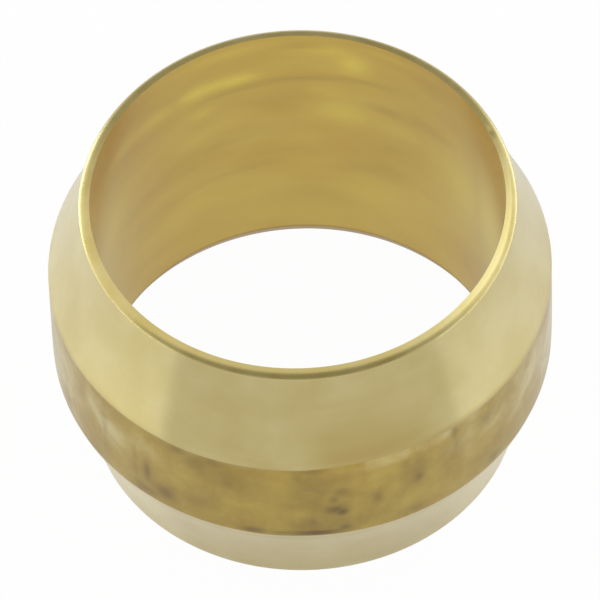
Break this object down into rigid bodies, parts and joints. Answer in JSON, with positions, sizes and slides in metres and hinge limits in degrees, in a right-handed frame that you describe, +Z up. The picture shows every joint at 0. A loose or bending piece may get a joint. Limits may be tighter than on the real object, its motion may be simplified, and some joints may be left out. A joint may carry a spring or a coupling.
{
  "type": "compression olive",
  "caption": "Turned brass compression olive: a short ring with a straight tube bore, a plain raised middle band and a cone to each thin end, squeezed onto a tube by a nut to seal a joint.",
  "frame": {"origin": "centre of the bore on the lower end's flat face, where the olive stands", "axes": "+Z up along the bore's axis, towards the other end; X and Y are free, since the ring is round"},
  "size_m": [0.0122, 0.0122, 0.0081],
  "materials": {
    "turned_brass": "satin turned cones and bore, duller drawn band"
  },
  "bodies": {
    "root": {"olive": "turned_brass"}
  },
  "joints": []
}
